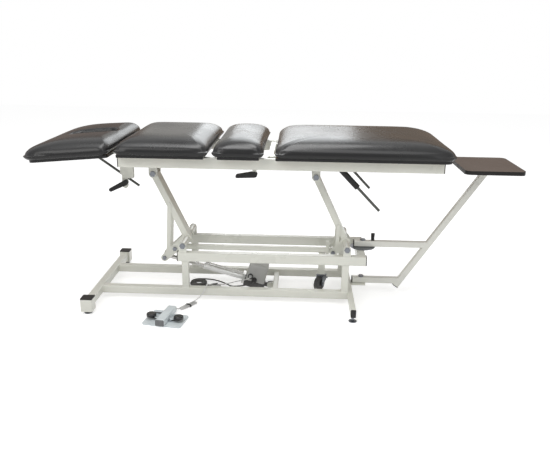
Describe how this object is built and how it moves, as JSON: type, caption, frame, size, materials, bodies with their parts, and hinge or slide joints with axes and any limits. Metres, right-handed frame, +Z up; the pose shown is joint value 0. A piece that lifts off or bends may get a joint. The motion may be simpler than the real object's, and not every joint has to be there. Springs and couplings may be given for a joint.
{
  "type": "traction table",
  "caption": "Powered height-adjustable treatment table on a parallelogram lift, with a tilting head section, sliding leg section, swing-arm tray and foot control.",
  "frame": {"origin": "bottom centre of the table without its leads and foot control, on the floor", "axes": "+X toward the foot end, +Y to the far side, +Z up"},
  "size_m": [2.2774, 0.8654, 0.819],
  "materials": {
    "frame_paint": "gloss powder coat",
    "black_plastic": "satin",
    "steel": "zinc plated",
    "motor_grey": "fine texture",
    "gear_dark": "satin",
    "caster_tread": "matt",
    "plywood": "raw",
    "vinyl": "soft sheen vinyl",
    "laminate": "brown laminate",
    "cable_black": "satin",
    "cable_grey": "satin"
  },
  "bodies": {
    "base": {"base_rails": "frame_paint", "base_cross_feet": "frame_paint", "base_posts": "frame_paint", "mid_frame": "frame_paint", "base_caps": "black_plastic", "levelling_feet": "steel", "base_brackets": "frame_paint", "leg_pivot_bolts": "steel", "arm_index_disc": "steel", "arm_pivot_pins": "steel", "pedal_base": "motor_grey", "mains_plug": "black_plastic", "mains_lead_tail": "cable_black", "mains_lead_coil": "cable_black", "mains_lead_run": "cable_black", "pedal_lead_start": "cable_grey", "pedal_lead_hank": "cable_grey", "pedal_lead_run": "cable_grey"},
    "head_leg": {"head_leg": "frame_paint", "head_leg_cranks": "frame_paint", "head_crank_bolts": "steel"},
    "foot_leg": {"foot_leg": "frame_paint", "foot_leg_cranks": "frame_paint", "foot_crank_bolt": "steel"},
    "tie": {"tie_bar": "frame_paint", "caster_post": "frame_paint"},
    "caster_fork": {"caster_fork": "steel"},
    "caster_wheel": {"caster_wheel": "caster_tread"},
    "caster_brake": {"caster_brake": "steel"},
    "actuator": {"actuator_tube": "steel", "actuator_motor_cover": "motor_grey", "actuator_gearbox": "gear_dark", "actuator_guide_rod": "steel"},
    "actuator_rod": {"actuator_rod": "steel"},
    "top_frame": {"top_rails": "frame_paint", "top_caps": "black_plastic", "top_cross_tubes": "frame_paint", "top_brackets": "frame_paint", "top_pivot_bolts": "steel", "top_boards": "plywood", "trunk_cushion": "vinyl", "mid_cushion": "vinyl"},
    "release_lever": {"release_lever": "black_plastic"},
    "head": {"head_board": "plywood", "head_brackets": "steel", "head_cushion": "vinyl"},
    "head_rod": {"head_rod": "steel"},
    "clamp_handle": {"clamp_handle": "black_plastic"},
    "carriage": {"carriage_frame": "frame_paint"},
    "leg_section": {"leg_board": "plywood", "leg_brackets": "steel", "leg_cushion": "vinyl"},
    "lock_rods": {"lock_rods": "steel"},
    "lock_housings": {"lock_housings": "black_plastic"},
    "swing_arm": {"swing_arm_tubes": "frame_paint", "tray_board": "laminate", "swing_arm_trim": "black_plastic"},
    "arm_lock_knob": {"arm_lock_knob": "black_plastic"},
    "pedal_pad_left": {"pedal_pad_left": "black_plastic"},
    "pedal_pad_right": {"pedal_pad_right": "black_plastic"}
  },
  "joints": [
    {"name": "lift", "type": "hinge", "parent": "base", "child": "head_leg", "pos_m": [-0.45128, 0, 0.281], "axis": [0, 1, 0], "range_deg": [-54, 10]},
    {"name": "foot_leg_lift", "type": "hinge", "parent": "base", "child": "foot_leg", "pos_m": [0.34172, 0, 0.281], "axis": [0, 1, 0], "range_deg": [-54, 10]},
    {"name": "top_level", "type": "hinge", "parent": "head_leg", "child": "top_frame", "pos_m": [-0.60826, 0, 0.60719], "axis": [0, 1, 0], "range_deg": [-10, 54]},
    {"name": "tie_level", "type": "hinge", "parent": "head_leg", "child": "tie", "pos_m": [-0.51247, 0, 0.22493], "axis": [0, 1, 0], "range_deg": [-10, 54]},
    {"name": "caster_swivel", "type": "hinge", "parent": "tie", "child": "caster_fork", "pos_m": [0.22772, 0, 0.098], "axis": [0, 0, 1], "continuous": true},
    {"name": "caster_roll", "type": "hinge", "parent": "caster_fork", "child": "caster_wheel", "pos_m": [0.218, -0.01515, 0.048], "axis": [0.8415, -0.5402, 0], "continuous": true},
    {"name": "caster_brake_press", "type": "hinge", "parent": "caster_fork", "child": "caster_brake", "pos_m": [0.23475, 0.01094, 0.077], "axis": [-0.8415, 0.5402, 0], "range_deg": [0, 10]},
    {"name": "actuator_swing", "type": "hinge", "parent": "base", "child": "actuator", "pos_m": [-0.03528, 0, 0.03], "axis": [0, 1, 0], "range_deg": [-3.78, 0.78]},
    {"name": "actuator_extend", "type": "slide", "parent": "actuator", "child": "actuator_rod", "axis": [-0.9644, 0, 0.2644], "range_m": [-0.13982, 0.0263]},
    {"name": "head_tilt", "type": "hinge", "parent": "top_frame", "child": "head", "pos_m": [-0.72928, 0, 0.742], "axis": [0, 1, 0], "range_deg": [-15, 25]},
    {"name": "head_rod_swing", "type": "hinge", "parent": "head", "child": "head_rod", "pos_m": [-0.92028, 0, 0.7], "axis": [0, 1, 0], "range_deg": [-9.33, 5.64]},
    {"name": "clamp_turn", "type": "hinge", "parent": "top_frame", "child": "clamp_handle", "pos_m": [-0.75028, 0, 0.556], "axis": [0, 1, 0], "range_deg": [0, 60]},
    {"name": "lever_pull", "type": "hinge", "parent": "top_frame", "child": "release_lever", "pos_m": [-0.09828, -0.254, 0.661], "axis": [0, 1, 0], "range_deg": [-30, 0], "stiffness_Nm_per_rad": 0.6, "springref_deg": 8.59},
    {"name": "carriage_slide", "type": "slide", "parent": "top_frame", "child": "carriage", "axis": [1, 0, 0], "range_m": [0, 0.12]},
    {"name": "leg_tilt", "type": "hinge", "parent": "carriage", "child": "leg_section", "pos_m": [-0.01028, 0, 0.728], "axis": [0, 1, 0], "range_deg": [-20, 0]},
    {"name": "lock_rod_swing", "type": "hinge", "parent": "leg_section", "child": "lock_rods", "pos_m": [0.25472, 0, 0.722], "axis": [0, 1, 0], "range_deg": [-0.1, 47.21]},
    {"name": "lock_slide", "type": "slide", "parent": "lock_rods", "child": "lock_housings", "axis": [0.6947, 0, -0.7193], "range_m": [-0.0005, 0.08306]},
    {"name": "arm_swing", "type": "hinge", "parent": "base", "child": "swing_arm", "pos_m": [0.42972, 0, 0.251], "axis": [0, 0, 1], "range_deg": [-90, 90]},
    {"name": "knob_turn", "type": "hinge", "parent": "swing_arm", "child": "arm_lock_knob", "pos_m": [0.47872, 0, 0.251], "axis": [0, 0, 1], "range_deg": [0, 330]},
    {"name": "pad_left_press", "type": "hinge", "parent": "base", "child": "pedal_pad_left", "pos_m": [-0.52055, -0.41046, 0.017], "axis": [-0.1633, -0.9866, 0], "range_deg": [0, 5], "stiffness_Nm_per_rad": 1.5, "springref_deg": -2.86},
    {"name": "pad_right_press", "type": "hinge", "parent": "base", "child": "pedal_pad_right", "pos_m": [-0.4676, -0.42125, 0.017], "axis": [0.1633, 0.9866, 0], "range_deg": [0, 5], "stiffness_Nm_per_rad": 1.5, "springref_deg": -2.86}
  ],
  "couplings": [
    {"joint": "foot_leg_lift", "follows": "lift", "ratio": 1},
    {"joint": "top_level", "follows": "lift", "ratio": -1},
    {"joint": "tie_level", "follows": "lift", "ratio": -1},
    {"joint": "actuator_swing", "follows": "lift", "ratio": 0.0682},
    {"joint": "actuator_extend", "follows": "lift", "m_per_rad": 0.14782},
    {"joint": "head_rod_swing", "follows": "head_tilt", "ratio": -0.3691},
    {"joint": "lock_rod_swing", "follows": "leg_tilt", "ratio": -2.3555},
    {"joint": "lock_slide", "follows": "leg_tilt", "m_per_rad": -0.23651}
  ]
}
